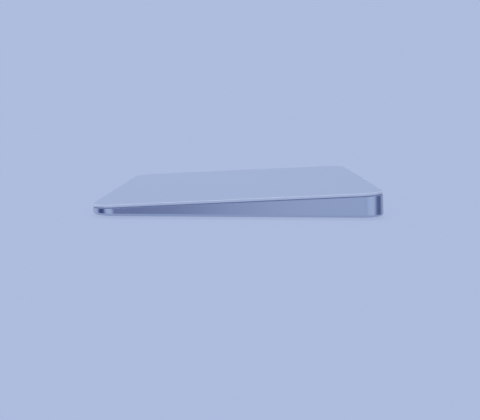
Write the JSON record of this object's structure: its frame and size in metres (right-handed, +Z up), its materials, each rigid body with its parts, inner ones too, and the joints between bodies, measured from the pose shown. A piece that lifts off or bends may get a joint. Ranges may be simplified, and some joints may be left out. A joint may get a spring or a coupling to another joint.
{
  "type": "trackpad",
  "caption": "Desk trackpad: a glass touch plate on sprung corners over a thin aluminium wedge, low at the front and high at the rear, with rounded corners, rubber feet and a rear slide switch.",
  "frame": {"origin": "on the desk, under the middle of the outline", "axes": "+X to the user's right along the width, +Y from the thin front edge to the thick rear edge, +Z up"},
  "size_m": [0.16, 0.1149, 0.0109],
  "materials": {
    "anodised_aluminium": "fine bead-blasted, silver with a cool cast",
    "white_glass": "fine etched top over a white coat, polished edge",
    "seal_rubber": "dark matt",
    "foot_rubber": "matt, fine grain",
    "adhesive": "thin film",
    "cell_foil": "black laminated foil pouch",
    "circuit_board": "solder mask, satin",
    "chip_black": "moulded package",
    "tin_steel": "tinned sheet",
    "nickel": "nickel strip",
    "polyimide": "amber flexible print",
    "connector_plastic": "cream moulding",
    "screw_steel": "low head, bright",
    "antenna_plastic": "black moulding",
    "antenna_copper": "plated strip",
    "port_steel": "stainless, satin",
    "port_plastic": "black moulding",
    "switch_plastic": "light grey satin moulding",
    "film_green": "green film",
    "spring_steel": "stamped, bright",
    "core_steel": "laminated stack",
    "coil_copper": "enamelled wire",
    "gel": "soft clear gel",
    "stiffener_aluminium": "stamped sheet"
  },
  "bodies": {
    "base": {"housing": "anodised_aluminium", "foot_front_left": "foot_rubber", "foot_front_right": "foot_rubber", "foot_rear_left": "foot_rubber", "foot_rear_right": "foot_rubber", "foot_adhesives": "adhesive", "battery_cell_left": "cell_foil", "battery_cell_right": "cell_foil", "battery_adhesives": "adhesive", "cell_tabs": "nickel", "protection_board": "circuit_board", "protection_chips": "chip_black", "battery_lead": "polyimide", "main_board": "circuit_board", "main_chips": "chip_black", "board_shield": "tin_steel", "board_connectors": "connector_plastic", "board_screws": "screw_steel", "antenna_carrier": "antenna_plastic", "antenna_element": "antenna_copper", "usb_port_shell": "port_steel", "usb_port_insert": "port_plastic", "port_strap": "tin_steel", "strap_screws": "screw_steel", "power_switch_body": "chip_black", "switch_film": "film_green", "actuator_bracket": "tin_steel", "actuator_core": "core_steel", "actuator_coils": "coil_copper", "actuator_screws": "screw_steel", "actuator_flex": "polyimide", "bending_plate_front_left": "spring_steel", "bending_plate_front_right": "spring_steel", "bending_plate_rear_left": "spring_steel", "bending_plate_rear_right": "spring_steel", "flexure_screws": "screw_steel", "strain_gauges": "polyimide", "sensor_flex_left": "polyimide", "sensor_flex_right": "polyimide", "touch_flex": "polyimide", "edge_seal": "seal_rubber"},
    "press_carrier": {"gel_plates": "spring_steel", "gel_pad_front_left": "gel", "gel_pad_front_right": "gel", "gel_pad_rear_left": "gel", "gel_pad_rear_right": "gel"},
    "touch_platform": {"touch_glass": "white_glass", "glass_adhesive": "adhesive", "touch_board": "circuit_board", "stiffener_plate": "stiffener_aluminium", "touch_chips": "chip_black", "attraction_bar": "core_steel"},
    "switch_slider": {"power_slider": "switch_plastic"}
  },
  "joints": [
    {"name": "surface_press", "type": "slide", "parent": "base", "child": "press_carrier", "axis": [0, 0.0522, -0.9986], "range_m": [0, 0.0002], "stiffness_N_per_m": 20000, "springref_m": -0.00006, "deforming": ["bending_plate_front_left", "bending_plate_front_right", "bending_plate_rear_left", "bending_plate_rear_right", "edge_seal", "touch_flex"]},
    {"name": "click_shake", "type": "slide", "parent": "press_carrier", "child": "touch_platform", "axis": [1, 0, 0], "range_m": [-0.00015, 0.00015], "stiffness_N_per_m": 25000, "deforming": ["gel_pad_front_left", "gel_pad_front_right", "gel_pad_rear_left", "gel_pad_rear_right", "edge_seal", "touch_flex"]},
    {"name": "power_switch", "type": "slide", "parent": "base", "child": "switch_slider", "axis": [1, 0, 0], "range_m": [0, 0.0024]}
  ]
}
